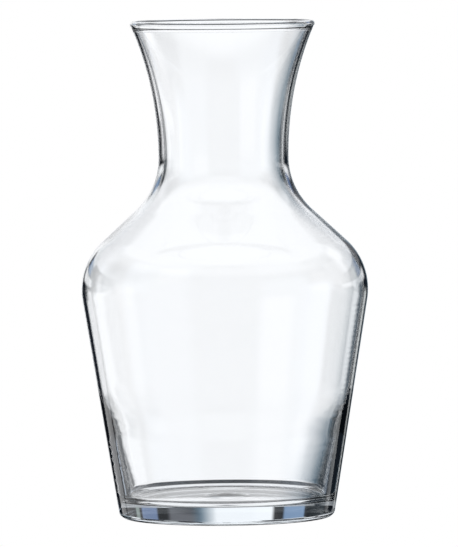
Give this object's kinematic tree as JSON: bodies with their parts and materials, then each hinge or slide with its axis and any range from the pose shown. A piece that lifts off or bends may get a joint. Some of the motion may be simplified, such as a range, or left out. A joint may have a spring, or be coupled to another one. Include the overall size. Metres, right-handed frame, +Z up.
{
  "type": "wine carafe",
  "caption": "Clear glass serving carafe with a flared mouth, narrow neck, rounded shoulder, tapered body and thick flat base.",
  "frame": {"origin": "centre of the ring that the carafe stands on, level with the table", "axes": "+Z up along the axis of the turned shape, out of the mouth; X and Y are any two level directions"},
  "size_m": [0.1188, 0.1188, 0.206],
  "materials": {
    "clear_glass": "clear soda-lime glass, fire polished, colourless with a very faint cool tint in thick sections"
  },
  "bodies": {
    "root": {"glass_body": "clear_glass"}
  },
  "joints": []
}
